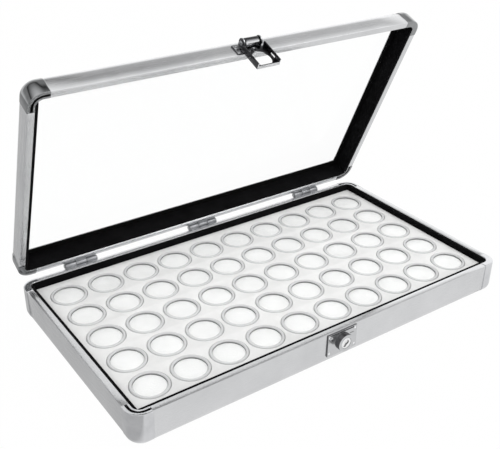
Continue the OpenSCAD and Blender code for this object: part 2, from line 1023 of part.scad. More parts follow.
module sample_jar_cap() {
    color("azure", 0.4)
        translate([sample_x, sample_y, 0])
            jar_cap();
}

base_front_rail();
base_rear_rail();
base_left_rail();
base_right_rail();
base_corner_front_left();
base_corner_front_right();
base_corner_rear_left();
base_corner_rear_right();
base_corner_cores();
base_corner_rivets();
bottom_panel();
floor_liner();
base_lining_front();
base_lining_rear();
base_lining_left();
base_lining_right();
hinge_base_leaf_left();
hinge_base_leaf_middle();
hinge_base_leaf_right();
hinge_pin_left();
hinge_pin_middle();
hinge_pin_right();
hinge_base_rivets();
lock_plate();
lock_housing();
lock_plate_rivets();
lock_cylinder();
lock_bolt();
lid_front_rail();
lid_rear_rail();
lid_left_rail();
lid_right_rail();
lid_corner_front_left();
lid_corner_front_right();
lid_corner_rear_left();
lid_corner_rear_right();
lid_corner_cores();
lid_corner_rivets();
glass_pane();
glass_seal();
lid_lining_front();
lid_lining_rear();
lid_lining_left();
lid_lining_right();
hinge_lid_leaf_left();
hinge_lid_leaf_middle();
hinge_lid_leaf_right();
hinge_lid_rivets();
latch_plate();
latch_plate_rivets();
latch_hasp();
hasp_pin();
foam_insert();
jar_cups();
jar_caps();
jar_pads();
sample_jar_cup();
sample_jar_pad();
sample_jar_cap();
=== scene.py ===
import json
import math

import bmesh
import bpy
from mathutils import Matrix, Vector

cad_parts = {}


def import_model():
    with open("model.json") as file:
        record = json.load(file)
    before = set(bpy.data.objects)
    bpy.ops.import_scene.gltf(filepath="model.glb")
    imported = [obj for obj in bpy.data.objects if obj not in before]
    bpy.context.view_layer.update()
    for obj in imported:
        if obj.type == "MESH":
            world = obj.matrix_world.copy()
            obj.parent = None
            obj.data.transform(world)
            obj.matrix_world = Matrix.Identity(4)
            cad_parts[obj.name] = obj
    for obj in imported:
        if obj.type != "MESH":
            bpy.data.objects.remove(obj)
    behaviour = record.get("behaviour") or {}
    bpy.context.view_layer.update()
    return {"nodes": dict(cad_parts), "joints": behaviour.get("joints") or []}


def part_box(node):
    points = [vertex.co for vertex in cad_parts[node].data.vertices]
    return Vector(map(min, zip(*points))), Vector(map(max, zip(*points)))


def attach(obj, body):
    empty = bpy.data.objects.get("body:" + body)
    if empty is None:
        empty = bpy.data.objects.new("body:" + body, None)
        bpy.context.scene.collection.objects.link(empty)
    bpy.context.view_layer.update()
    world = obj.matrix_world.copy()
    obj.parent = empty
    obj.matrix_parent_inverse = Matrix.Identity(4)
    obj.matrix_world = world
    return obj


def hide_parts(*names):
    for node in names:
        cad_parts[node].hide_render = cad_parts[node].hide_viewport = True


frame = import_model()

MM = 0.001


def node_box(name):
    """Lowest and highest corner of a node, in millimetres."""
    low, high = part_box(name)
    return low / MM, high / MM


def joint(name):
    """The joint of that name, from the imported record."""
    return next(entry for entry in frame["joints"] if entry["name"] == name)


# Sizes read from the frame, in millimetres
HALF_W = -node_box("base_left_rail")[0].x
HALF_D = -node_box("base_front_rail")[0].y
BASE_H = node_box("base_front_rail")[1].z
HINGE_Y = joint("lid_hinge")["pos_m"][1] / MM
HINGE_Z = joint("lid_hinge")["pos_m"][2] / MM
LID_OPEN = -joint("lid_hinge")["range_deg"][0]
CORNER_LEG = HALF_W - node_box("base_front_rail")[1].x
PROUD = -node_box("base_corner_front_left")[0].x - HALF_W
LEDGE_W = node_box("base_left_rail")[1].x + HALF_W
PANEL_T = node_box("bottom_panel")[1].z
FELT_TOP = node_box("floor_liner")[1].z
FOAM_LOW, FOAM_HIGH = node_box("foam_insert")
CAP_LOW, CAP_HIGH = node_box("sample_jar_cap")
CUP_LOW, CUP_HIGH = node_box("sample_jar_cup")
PAD_LOW, PAD_HIGH = node_box("sample_jar_pad")
CAP_R = (CAP_HIGH.x - CAP_LOW.x) / 2
CUP_R = (CUP_HIGH.x - CUP_LOW.x) / 2
PAD_R = (PAD_HIGH.x - PAD_LOW.x) / 2

# Sizes of the walls, in millimetres, that the frame does not give
SEAM = 0.4
LID_H = 19.6
BASE_RIM = 5.8
LID_RIM = 5.9
EDGE_R = 8.0
CORNER_R = 12.0
LEDGE_T = 1.5
LIP_T = 1.0
LIP_W = 11.0

# Place and size of the curved groove in each corner's rim
GROOVE_INSET = 2.2
GROOVE_W = 2.0
GROOVE_DEPTH = 2.0
GROOVE_PAST_RIM = 1.0

# Glass, its seal, and the sheets in the bottom
GLASS_T = 2.0
GLASS_PLAY = 0.3
GLASS_CORNER_R = 5.8
SEAL_T = 1.0
SEAL_REACH = 7.0
SEAL_CORNER_R = 0.5
SHEET_PLAY = 0.1
SHEET_CORNER_R = 6.0
STEP_CORNER_R = 1.0
STEP_OVERLAP = 0.01

# Black strips on the walls
LINING_T = 2.5
LINING_PLAY = 0.1
LINING_DROP = 0.4
LID_FRONT_LINING_DROP = 2.9

# Jars, whose caps stand a little higher than the solids to show their outer wall
JAR_COLUMNS = 10
JAR_ROWS = 5
JAR_PITCH_X = 34.8
JAR_PITCH_Y = 35.7
CAP_PROUD = 0.8
CUP_WALL = 1.1
CAP_SKIRT = 0.82
FOAM_CORNER_R = 1.0
POCKET_PLAY = 0.4
POCKET_PAST_TOP = 1.0
AXIS_R = 0.001

# Steps along the rails, the legs of the corners and every arc
EDGE_STEPS = 12
CORNER_STEPS = 16
LEG_STEPS = 4
RAIL_STEPS = 12
LINING_STEPS = 8
PLATE_STEPS = 8
LATHE_STEPS = 48

# Heights that follow from these, of the shut lid's rim and, above that rim, of glass and seal
LID_Z = BASE_H + SEAM
GLASS_TOP = LID_H - LIP_T
SEAL_LOW = GLASS_TOP - GLASS_T - SEAL_T

# The lid is drawn shut and turned open
HINGE_POINT = Vector((0, HINGE_Y, HINGE_Z))
OPEN_LID = (
    Matrix.Translation(HINGE_POINT)
    @ Matrix.Rotation(math.radians(-LID_OPEN), 4, "X")
    @ Matrix.Translation(-HINGE_POINT)
)
STILL = Matrix.Identity(4)


# Mesh helpers


def fillet_arc(centre, radius, start, end, steps):
    """Points of an arc from one angle to another, in degrees."""
    angles = [math.radians(start + (end - start) * i / steps) for i in range(steps + 1)]
    return [(centre[0] + radius * math.cos(a), centre[1] + radius * math.sin(a)) for a in angles]


def inside(inset):
    """Half the width and half the depth of the case, less an inset all round."""
    return HALF_W - inset, HALF_D - inset


def rounded_rectangle(half, radius):
    """Outline of a centred rectangle with round corners, from half its width and half its depth."""
    x, y = half[0] - radius, half[1] - radius
    points = []
    for cx, cy, start in ((x, y, 0), (-x, y, 90), (-x, -y, 180), (x, -y, 270)):
        points += fillet_arc((cx, cy), radius, start, start + 90, PLATE_STEPS)
    return points


def loft(rings, closed_path=False):
    """A bmesh skinned over rings of equal length, with lengths in millimetres as its UV map."""
    bm = bmesh.new()
    layer = bm.loops.layers.uv.new("UVMap")
    made = [[bm.verts.new(point) for point in ring] for ring in rings]
    count = len(rings[0])
    around = [0.0]
    for i in range(count):
        around.append(around[-1] + (rings[0][(i + 1) % count] - rings[0][i]).length)
    along = [0.0]
    spans = len(rings) if closed_path else len(rings) - 1
    every_third = range(0, count, 3)
    for k in range(spans):
        after = rings[(k + 1) % len(rings)]
        along.append(along[-1] + max((after[i] - rings[k][i]).length for i in every_third))
    for k in range(spans):
        after = made[(k + 1) % len(made)]
        for i in range(count):
            j = (i + 1) % count
            face = bm.faces.new((made[k][i], made[k][j], after[j], after[i]))
            corners = ((k, i), (k, i + 1), (k + 1, i + 1), (k + 1, i))
            for loop, (a, b) in zip(face.loops, corners):
                loop[layer].uv = (along[a], around[b])
    if not closed_path:
        for ring in (made[0][::-1], made[-1]):
            face = bm.faces.new(ring)
            for loop in face.loops:
                loop[layer].uv = (loop.vert.co.x + loop.vert.co.y, loop.vert.co.z)
    bmesh.ops.recalc_face_normals(bm, faces=bm.faces)
    return bm


def prism(outline, low, high):
    """An upright prism over an outline."""
    return loft([[Vector((x, y, h)) for x, y in outline] for h in (low, high)])


def lathe(profile, centre):
    """A closed profile of (radius, height) turned round an upright axis through centre."""
    rings = []
    for k in range(LATHE_STEPS):
        angle = 2 * math.pi * k / LATHE_STEPS
        c, s = math.cos(angle), math.sin(angle)
        rings.append([Vector((r * c, r * s, h)) + centre for r, h in profile])
    bm = loft(rings, closed_path=True)
    bmesh.ops.remove_doubles(bm, verts=bm.verts, dist=1e-4)
    bmesh.ops.recalc_face_normals(bm, faces=bm.faces)
    return bm


def merge(target, other):
    """Adds a bmesh to another and frees it."""
    mesh = bpy.data.meshes.new("passing")
    other.to_mesh(mesh)
    other.free()
    target.from_mesh(mesh)
    bpy.data.meshes.remove(mesh)


def linked(name, data):
    """A new object in the scene, with its mesh, lamp or camera."""
    obj = bpy.data.objects.new(name, data)
    bpy.context.scene.collection.objects.link(obj)
    return obj


def plain_object(name, bm, matrix=STILL):
    """An object in metres from a bmesh drawn in millimetres, moved by a matrix."""
    mesh = bpy.data.meshes.new(name)
    bm.to_mesh(mesh)
    bm.free()
    mesh.transform(Matrix.Scale(MM, 4) @ matrix)
    return linked(name, mesh)


def settle(obj):
    """Applies the modifiers of an object."""
    graph = bpy.context.evaluated_depsgraph_get()
    mesh = bpy.data.meshes.new_from_object(obj.evaluated_get(graph))
    old = obj.data
    obj.modifiers.clear()
    obj.data = mesh
    bpy.data.meshes.remove(old)


def combine(obj, other, operation):
    """Joins another object to one, or cuts it out, and removes the other."""
    modifier = obj.modifiers.new("combine", "BOOLEAN")
    modifier.operation = operation
    modifier.solver = "EXACT"
    modifier.object = other
    settle(obj)
    mesh = other.data
    bpy.data.objects.remove(other)
    bpy.data.meshes.remove(mesh)


def soften(obj, width, segments=2, angle=35):
    """Rounds the sharp edges of an object, with width in millimetres."""
    modifier = obj.modifiers.new("edge", "BEVEL")
    modifier.width = width * MM
    modifier.segments = segments
    modifier.limit_method = "ANGLE"
    modifier.angle_limit = math.radians(angle)
    settle(obj)


def finish_piece(obj, body, material, nodes, smooth=38):
    """Shades a piece, gives it a material and its body, and hides the nodes that it stands for."""
    if not obj.data.materials:
        obj.data.materials.append(material)
    obj.data.shade_smooth()
    obj.data.set_sharp_from_angle(angle=math.radians(smooth))
    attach(obj, body)
    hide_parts(*nodes)


# Material helpers

# Noise turns per millimetre along and across a piece, which draws its brushing out into streaks
STREAK_SCALE = (0.03, 2.2, 1.0)

# The clear plastic of the jars and the glass of the pane
JAR_CLEAR = {
    "colour": (0.985, 0.988, 0.988),
    "ior": 1.12,
    "rough_low": 0.03,
    "rough_high": 0.08,
    "smear_scale": 120.0,
}
PANE_CLEAR = {
    "colour": (0.995, 0.998, 0.997),
    "ior": 1.06,
    "rough_low": 0.0,
    "rough_high": 0.01,
    "smear_scale": 30.0,
}


def start_material(name):
    """A material with a Principled shader, returned with its tree and shader."""
    material = bpy.data.materials.new(name)
    material.use_nodes = True
    tree = material.node_tree
    tree.nodes.clear()
    output = tree.nodes.new("ShaderNodeOutputMaterial")
    shader = tree.nodes.new("ShaderNodeBsdfPrincipled")
    tree.links.new(shader.outputs["BSDF"], output.inputs["Surface"])
    return material, tree, shader


def feed(tree, value, socket):
    """Sets a socket to a number, or links what another socket gives."""
    if isinstance(value, (int, float)):
        socket.default_value = value
    else:
        tree.links.new(value, socket)


def math_of(tree, operation, *values):
    """The result of an operation on one or two values."""
    node = tree.nodes.new("ShaderNodeMath")
    node.operation = operation
    for value, socket in zip(values, node.inputs):
        feed(tree, value, socket)
    return node.outputs[0]


def dot_with(tree, vector, direction):
    """The dot product of a vector and a fixed direction."""
    node = tree.nodes.new("ShaderNodeVectorMath")
    node.operation = "DOT_PRODUCT"
    node.inputs[1].default_value = direction
    tree.links.new(vector, node.inputs[0])
    return node.outputs["Value"]


def axis_of(tree, vector, axis):
    """One axis of a vector."""
    node = tree.nodes.new("ShaderNodeSeparateXYZ")
    tree.links.new(vector, node.inputs["Vector"])
    return node.outputs[axis]


def blend(tree, share, first, second):
    """Sends two shaders to the tree's output, the second one by its share."""
    mix = tree.nodes.new("ShaderNodeMixShader")
    output = next(node for node in tree.nodes if node.type.startswith("OUTPUT"))
    tree.links.new(share, mix.inputs["Fac"])
    tree.links.new(first, mix.inputs[1])
    tree.links.new(second, mix.inputs[2])
    tree.links.new(mix.outputs["Shader"], output.inputs["Surface"])


def coordinates(tree, kind="Object", scale=(1, 1, 1)):
    """Texture coordinates of a kind, scaled along each axis."""
    source = tree.nodes.new("ShaderNodeTexCoord")
    mapping = tree.nodes.new("ShaderNodeMapping")
    mapping.inputs["Scale"].default_value = scale
    tree.links.new(source.outputs[kind], mapping.inputs["Vector"])
    return mapping.outputs["Vector"]


def noise(tree, vector, scale, detail, rough=0.55):
    """The strength of a noise over a vector."""
    node = tree.nodes.new("ShaderNodeTexNoise")
    node.inputs["Scale"].default_value = scale
    node.inputs["Detail"].default_value = detail
    node.inputs["Roughness"].default_value = rough
    tree.links.new(vector, node.inputs["Vector"])
    return node.outputs["Fac"]


def spread(tree, value, low, high, from_low=0.3, from_high=0.7):
    """A value mapped to the range from low to high, and kept inside it."""
    node = tree.nodes.new("ShaderNodeMapRange")
    node.inputs["From Min"].default_value = from_low
    node.inputs["From Max"].default_value = from_high
    feed(tree, low, node.inputs["To Min"])
    feed(tree, high, node.inputs["To Max"])
    feed(tree, value, node.inputs["Value"])
    return node.outputs["Result"]


def two_tone(tree, value, dark, light):
    """A colour between two, by a value."""
    node = tree.nodes.new("ShaderNodeMix")
    node.data_type = "RGBA"
    node.inputs[6].default_value = (*dark, 1)
    node.inputs[7].default_value = (*light, 1)
    tree.links.new(value, node.inputs["Factor"])
    return node.outputs[2]


def bump(tree, shader, height, strength, distance):
    """A bump from a height, into the shader."""
    node = tree.nodes.new("ShaderNodeBump")
    node.inputs["Strength"].default_value = strength
    node.inputs["Distance"].default_value = distance
    tree.links.new(height, node.inputs["Height"])
    tree.links.new(node.outputs["Normal"], shader.inputs["Normal"])


def brushed_metal(name, dark, light, rough_low, rough_high):
    """Brushed metal, with its streaks along the piece."""
    material, tree, shader = start_material(name)
    lines = noise(tree, coordinates(tree, "UV", STREAK_SCALE), scale=1.0, detail=6.0, rough=0.7)
    clouds = noise(tree, coordinates(tree), scale=22.0, detail=3.0)
    tree.links.new(spread(tree, lines, rough_low, rough_high), shader.inputs["Roughness"])
    tree.links.new(two_tone(tree, spread(tree, clouds, 0, 1), dark, light), shader.inputs["Base Color"])
    shader.inputs["Metallic"].default_value = 1.0
    bump(tree, shader, lines, strength=0.05, distance=0.0002)
    return material


def polished_metal(name, dark, light, rough_low, rough_high):
    """Polished metal with faint smears and tiny pits."""
    material, tree, shader = start_material(name)
    vector = coordinates(tree)
    smears = noise(tree, vector, scale=90.0, detail=3.0)
    pits = noise(tree, vector, scale=900.0, detail=2.0)
    tree.links.new(spread(tree, smears, rough_low, rough_high), shader.inputs["Roughness"])
    tree.links.new(two_tone(tree, spread(tree, smears, 0, 1), dark, light), shader.inputs["Base Color"])
    shader.inputs["Metallic"].default_value = 1.0
    bump(tree, shader, pits, strength=0.03, distance=0.0001)
    return material


def metal_with_painted_wall_shade(name, node, dark, light, rough):
    """Polished metal, light on what lies along the node's broadest face, with painted shade making its
    walls dark.
    """
    material, tree, shader = start_material(name)
    not_ends = [face for face in frame["nodes"][node].data.polygons if abs(face.normal.x) < 0.1]
    facing = max(not_ends, key=lambda face: face.area).normal
    source = tree.nodes.new("ShaderNodeTexCoord")
    match = math_of(tree, "ABSOLUTE", dot_with(tree, source.outputs["Normal"], facing))
    flatness = spread(tree, match, 0, 1, 0.55, 0.85)
    smears = noise(tree, source.outputs["Object"], scale=90.0, detail=3.0)
    tree.links.new(spread(tree, smears, rough, rough + 0.08), shader.inputs["Roughness"])
    # Painted shade: the walls take the dark colour in place of their shadow and dark reflection
    tree.links.new(two_tone(tree, flatness, dark, light), shader.inputs["Base Color"])
    shader.inputs["Metallic"].default_value = 1.0
    return material


def black_foam(name):
    """Black closed-cell strip with a flocked surface."""
    material, tree, shader = start_material(name)
    vector = coordinates(tree)
    flock = noise(tree, vector, scale=1400.0, detail=4.0, rough=0.7)
    patches = noise(tree, vector, scale=60.0, detail=2.0)
    tree.links.new(
        two_tone(tree, spread(tree, patches, 0, 1), (0.0015, 0.0015, 0.0018), (0.004, 0.004, 0.0045)),
        shader.inputs["Base Color"],
    )
    shader.inputs["Roughness"].default_value = 0.95
    shader.inputs["Specular IOR Level"].default_value = 0.08
    bump(tree, shader, flock, strength=0.35, distance=0.0003)
    return material


def black_rubber(name):
    """Black rubber with a fine grain, for the glass seal and as painted shade inside the corner grooves.
    """
    material, tree, shader = start_material(name)
    vector = coordinates(tree)
    grain = noise(tree, vector, scale=700.0, detail=3.0)
    tree.links.new(
        two_tone(tree, spread(tree, grain, 0, 1), (0.0012, 0.0012, 0.0014), (0.003, 0.003, 0.003)),
        shader.inputs["Base Color"],
    )
    shader.inputs["Roughness"].default_value = 0.8
    shader.inputs["Specular IOR Level"].default_value = 0.1
    bump(tree, shader, grain, strength=0.15, distance=0.0002)
    return material


def white_foam(name, dark, light, cell):
    """White closed-cell foam, finely pitted."""
    material, tree, shader = start_material(name)
    vector = coordinates(tree)
    cells = tree.nodes.new("ShaderNodeTexVoronoi")
    cells.inputs["Scale"].default_value = cell
    tree.links.new(vector, cells.inputs["Vector"])
    mottle = noise(tree, vector, scale=40.0, detail=5.0, rough=0.6)
    tree.links.new(two_tone(tree, spread(tree, mottle, 0, 1), dark, light), shader.inputs["Base Color"])
    shader.inputs["Roughness"].default_value = 0.85
    shader.inputs["Specular IOR Level"].default_value = 0.25
    shader.inputs["Sheen Weight"].default_value = 0.1
    bump(tree, shader, cells.outputs["Distance"], strength=0.25, distance=0.0003)
    return material


def clear_material(name, colour, ior, rough_low, rough_high, smear_scale):
    """Clear plastic or glass that lets lamps through."""
    material, tree, shader = start_material(name)
    vector = coordinates(tree)
    smears = noise(tree, vector, scale=smear_scale, detail=3.0)
    tree.links.new(spread(tree, smears, rough_low, rough_high), shader.inputs["Roughness"])
    shader.inputs["Base Color"].default_value = (*colour, 1)
    shader.inputs["IOR"].default_value = ior
    shader.inputs["Transmission Weight"].default_value = 1.0
    path = tree.nodes.new("ShaderNodeLightPath")
    open_way = tree.nodes.new("ShaderNodeBsdfTransparent")
    open_way.inputs["Color"].default_value = (*colour, 1)
    blend(tree, path.outputs["Is Shadow Ray"], shader.outputs["BSDF"], open_way.outputs["BSDF"])
    return material


def hardboard(name):
    """Dark pressed board with short fibres."""
    material, tree, shader = start_material(name)
    vector = coordinates(tree)
    fibres = noise(tree, vector, scale=420.0, detail=6.0, rough=0.75)
    tone = two_tone(tree, spread(tree, fibres, 0, 1), (0.07, 0.045, 0.028), (0.15, 0.10, 0.065))
    tree.links.new(tone, shader.inputs["Base Color"])
    tree.links.new(spread(tree, fibres, 0.55, 0.75), shader.inputs["Roughness"])
    bump(tree, shader, fibres, strength=0.3, distance=0.0002)
    return material


def cap_plastic(name, ring_shade):
    """The clear plastic of the jars, grey and less clear on the outside of the cap's bead and skirt as a
    painted shade ring.
    """
    material = clear_material(name, **JAR_CLEAR)
    tree = material.node_tree
    shader = next(node for node in tree.nodes if node.type == "BSDF_PRINCIPLED")
    # The UV map's Y runs along the cap's section, from the axis over the bead and down the skirt
    from_axis = axis_of(tree, coordinates(tree, "UV"), "Y")
    skirt_foot = CAP_R + CAP_HIGH.z + CAP_PROUD - CAP_LOW.z
    outside = spread(tree, from_axis, 1, 0, skirt_foot - 0.5, skirt_foot)
    # Painted shade: a grey, less clear ring on the bead and skirt stands in for the shade around each cap
    painted_shade_ring = spread(tree, from_axis, 0, outside, CAP_R - 2.9, CAP_R - 1.7)
    tree.links.new(spread(tree, painted_shade_ring, 1.0, 0.1, 0, 1), shader.inputs["Transmission Weight"])
    tree.links.new(two_tone(tree, painted_shade_ring, JAR_CLEAR["colour"], ring_shade), shader.inputs["Base Color"])
    return material


RAIL_METAL = brushed_metal("rail_aluminium", (0.60, 0.605, 0.615), (0.68, 0.685, 0.695), 0.2, 0.3)
HINGE_METAL = brushed_metal("hinge_steel", (0.22, 0.225, 0.235), (0.34, 0.345, 0.355), 0.28, 0.42)
HIDDEN_METAL = brushed_metal("plain_steel", (0.38, 0.385, 0.395), (0.5, 0.505, 0.515), 0.35, 0.5)
CORNER_METAL = {
    "base": polished_metal("corner_chrome", (0.56, 0.565, 0.58), (0.66, 0.665, 0.68), 0.06, 0.15),
    # The lid's corners: a darker copy of the corner chrome, with painted shade for the dark they mirror
    "lid": polished_metal("lid_corner_chrome_painted_shade", (0.24, 0.245, 0.25), (0.32, 0.325, 0.33), 0.05, 0.12),
}
FITTING_METAL = polished_metal("fitting_chrome", (0.78, 0.785, 0.80), (0.88, 0.885, 0.9), 0.08, 0.18)
# A darker copy of the fitting chrome: painted shade for the latch rivets' recesses and the hasp pin's
# dark reflection
LATCH_METAL_PAINTED_SHADE = polished_metal("latch_chrome_painted_shade", (0.30, 0.305, 0.315), (0.42, 0.425, 0.435), 0.08, 0.16)
# Lock, core, latch plate and hasp: their walls are dark as painted shade
LOCK_METAL = metal_with_painted_wall_shade("lock_chrome", "lock_plate", (0.10, 0.10, 0.105), (0.56, 0.565, 0.575), 0.18)
CORE_METAL = metal_with_painted_wall_shade("core_chrome", "lock_plate", (0.06, 0.06, 0.063), (0.86, 0.865, 0.87), 0.15)
PLATE_METAL = metal_with_painted_wall_shade("plate_chrome", "latch_plate", (0.08, 0.08, 0.085), (0.42, 0.425, 0.435), 0.14)
HASP_METAL = metal_with_painted_wall_shade("hasp_chrome", "latch_hasp", (0.05, 0.05, 0.053), (0.74, 0.745, 0.755), 0.12)
BLACK_FOAM = black_foam("black_lining")
BLACK_RUBBER_AND_GROOVE_SHADE = black_rubber("black_rubber")
WHITE_FOAM = white_foam("white_foam", (0.68, 0.68, 0.675), (0.78, 0.78, 0.775), cell=900.0)
PAD_FOAM = white_foam("pad_foam", (0.78, 0.78, 0.775), (0.86, 0.86, 0.855), cell=700.0)
CUP_PLASTIC = clear_material("cup_plastic", **JAR_CLEAR)
CAP_PLASTIC = cap_plastic("cap_plastic", ring_shade=(0.62, 0.625, 0.63))
PANE_GLASS = clear_material("pane_glass", **PANE_CLEAR)
PANEL_BOARD = hardboard("bottom_board")


# Rails and corners


def base_section(proud):
    """Outline of the base wall, as (inwards, up)."""
    outline = [(BASE_RIM, LEDGE_T), (BASE_RIM, BASE_H), (-proud, BASE_H)]
    outline += fillet_arc((EDGE_R - proud, EDGE_R), EDGE_R, 180, 270, EDGE_STEPS)
    outline += [(LEDGE_W, 0), (LEDGE_W, LEDGE_T)]
    return outline


def lid_section(proud):
    """Outline of the lid wall, as (inwards, up from the rim)."""
    outline = [(LIP_W, GLASS_TOP), (LIP_W, LID_H)]
    outline += fillet_arc((EDGE_R - proud, LID_H - EDGE_R), EDGE_R, 90, 180, EDGE_STEPS)
    outline += [(-proud, 0), (LID_RIM, 0), (LID_RIM, GLASS_TOP)]
    return outline


# Turn of each side about the upright axis, half its length and its distance from the middle
SIDES = {
    "front": (0, HALF_W, HALF_D),
    "rear": (180, HALF_W, HALF_D),
    "left": (-90, HALF_D, HALF_W),
    "right": (90, HALF_D, HALF_W),
}
# Signs of X and Y at each corner
CORNERS = {
    "front_left": (-1, -1),
    "front_right": (1, -1),
    "rear_left": (-1, 1),
    "rear_right": (1, 1),
}


def side_matrix(angle, reach):
    """Takes what is drawn along X with its outer face at y = 0 to one side of the case."""
    return Matrix.Rotation(math.radians(angle), 4, "Z") @ Matrix.Translation((0, -reach, 0))


def rail(part, side, section, lift, matrix):
    """One straight rail between two corners."""
    angle, half, reach = SIDES[side]
    span = half - CORNER_LEG
    stations = [-span + 2 * span * k / RAIL_STEPS for k in range(RAIL_STEPS + 1)]
    rings = [[Vector((x, u, v + lift)) for u, v in section(0)] for x in stations]
    bm = loft(rings)
    obj = plain_object(f"{part}_{side}_rail_skin", bm, matrix @ side_matrix(angle, reach))
    soften(obj, width=0.5)
    finish_piece(obj, part, RAIL_METAL, [f"{part}_{side}_rail"])


def corner_rings(section, lift):
    """Rings of a section led round the front left corner, leg to leg."""
    centre = Vector((CORNER_R - HALF_W, CORNER_R - HALF_D, 0))
    leg = CORNER_LEG - CORNER_R
    rings = []
    for k in range(LEG_STEPS):
        slide = leg * (1 - k / LEG_STEPS)
        rings.append([centre + Vector((slide, u - CORNER_R, v + lift)) for u, v in section])
    for k in range(CORNER_STEPS + 1):
        angle = math.radians(270 - 90 * k / CORNER_STEPS)
        out = Vector((math.cos(angle), math.sin(angle), 0))
        rings.append([centre + out * (CORNER_R - u) + Vector((0, 0, v + lift)) for u, v in section])
    for k in range(1, LEG_STEPS + 1):
        slide = leg * k / LEG_STEPS
        rings.append([centre + Vector((u - CORNER_R, slide, v + lift)) for u, v in section])
    return rings


def corner(part, name, section, lift, groove_low, matrix):
    """One cast corner with the curved groove in its rim, painted black inside as the groove's shade."""
    sx, sy = CORNERS[name]
    place = matrix @ Matrix.Diagonal((-sx, -sy, 1, 1))
    obj = plain_object(f"{part}_corner_{name}_skin", loft(corner_rings(section, lift)), place)
    groove_high = groove_low + GROOVE_DEPTH + GROOVE_PAST_RIM
    groove = [
        (GROOVE_INSET, groove_low),
        (GROOVE_INSET + GROOVE_W, groove_low),
        (GROOVE_INSET + GROOVE_W, groove_high),
        (GROOVE_INSET, groove_high),
    ]
    cutter = plain_object("groove", loft(corner_rings(groove, lift)), place)
    for piece in (obj, cutter):
        piece.data.materials.append(CORNER_METAL[part])
        piece.data.materials.append(BLACK_RUBBER_AND_GROOVE_SHADE)
    # The cutter's faces, the groove's walls and floor, take the black rubber as painted shade
    for face in cutter.data.polygons:
        face.material_index = 1
    combine(obj, cutter, "DIFFERENCE")
    mirrored = sx * sy < 0
    if mirrored:
        obj.data.flip_normals()
    soften(obj, width=0.45, segments=3)
    finish_piece(obj, part, CORNER_METAL[part], [f"{part}_corner_{name}"])


for side_name in SIDES:
    rail("base", side_name, base_section, 0, STILL)
    rail("lid", side_name, lid_section, LID_Z, OPEN_LID)
for corner_name in CORNERS:
    corner("base", corner_name, base_section(PROUD), 0, BASE_H - GROOVE_DEPTH, STILL)
    corner("lid", corner_name, lid_section(PROUD), LID_Z, -GROOVE_PAST_RIM, OPEN_LID)


# Linings, panel, seal and glass


def lining(part, side, rim, low, high, matrix):
    """One black strip along the inside of a wall, its ends shaped to the rounded corners."""
    angle, half, reach = SIDES[side]
    outer = rim + LINING_PLAY
    inner = rim + LINING_T
    corner_r = CORNER_R - outer
    straight = half - outer - corner_r
    if side in ("front", "rear"):
        turn = math.acos((corner_r - (inner - outer)) / corner_r)
        inner_ends = []
    else:
        end = half - inner - LINING_PLAY
        turn = math.asin((end - straight) / corner_r)
        inner_ends = [(end, inner), (-end, inner)]
    arc = [turn * k / LINING_STEPS for k in range(LINING_STEPS + 1)]
    ends = [(straight + corner_r * math.sin(a), outer + corner_r * (1 - math.cos(a))) for a in arc]
    outline = [(-x, y) for x, y in reversed(ends)] + ends + inner_ends
    bm = prism(outline, low, high)
    obj = plain_object(f"{part}_lining_{side}_strip", bm, matrix @ side_matrix(angle, reach))
    soften(obj, width=0.3)
    finish_piece(obj, part, BLACK_FOAM, [f"{part}_lining_{side}"])


for side_name in SIDES:
    lining("base", side_name, BASE_RIM, FELT_TOP, BASE_H - LINING_DROP, STILL)
    drop = LID_FRONT_LINING_DROP if side_name == "front" else LINING_DROP
    lining("lid", side_name, LID_RIM, LID_Z + drop, LID_Z + SEAL_LOW, OPEN_LID)


def flat_plate(name, half, radius, low, high, matrix=STILL):
    """A plate with round corners, lying flat."""
    return plain_object(name, prism(rounded_rectangle(half, radius), low, high), matrix)


def bottom_panel():
    """The board that drops into the rails and lies flush underneath."""
    upper = flat_plate("bottom_board", inside(BASE_RIM + SHEET_PLAY), SHEET_CORNER_R, LEDGE_T, PANEL_T)
    step_top = LEDGE_T + STEP_OVERLAP
    lower = flat_plate("bottom_step", inside(LEDGE_W + SHEET_PLAY), STEP_CORNER_R, 0, step_top)
    combine(upper, lower, "UNION")
    soften(upper, width=0.2)
    finish_piece(upper, "base", PANEL_BOARD, ["bottom_panel"])


def floor_liner():
    """The black sheet on the floor of the base."""
    obj = flat_plate("floor_liner_pad", inside(BASE_RIM + SHEET_PLAY), SHEET_CORNER_R, PANEL_T, FELT_TOP)
    soften(obj, width=0.3)
    finish_piece(obj, "base", BLACK_FOAM, ["floor_liner"])


def glass_pane():
    """The clear pane under the lip of the lid."""
    low = LID_Z + GLASS_TOP - GLASS_T
    obj = flat_plate("pane", inside(LID_RIM + GLASS_PLAY), GLASS_CORNER_R, low, low + GLASS_T, OPEN_LID)
    soften(obj, width=0.25)
    finish_piece(obj, "lid", PANE_GLASS, ["glass_pane"])


def glass_seal():
    """The black frame that the pane beds on."""
    low, high = LID_Z + SEAL_LOW, LID_Z + SEAL_LOW + SEAL_T
    outer = rounded_rectangle(inside(LID_RIM + GLASS_PLAY), GLASS_CORNER_R)
    inner = rounded_rectangle(inside(LID_RIM + SEAL_REACH), SEAL_CORNER_R)
    rings = []
    for out, inward in zip(outer, inner):
        section = ((*out, low), (*out, high), (*inward, high), (*inward, low))
        rings.append([Vector(point) for point in section])
    obj = plain_object("glass_seal_frame", loft(rings, closed_path=True), OPEN_LID)
    soften(obj, width=0.3)
    finish_piece(obj, "lid", BLACK_RUBBER_AND_GROOVE_SHADE, ["glass_seal"])


bottom_panel()
floor_liner()
glass_pane()
glass_seal()


# Foam insert and jars


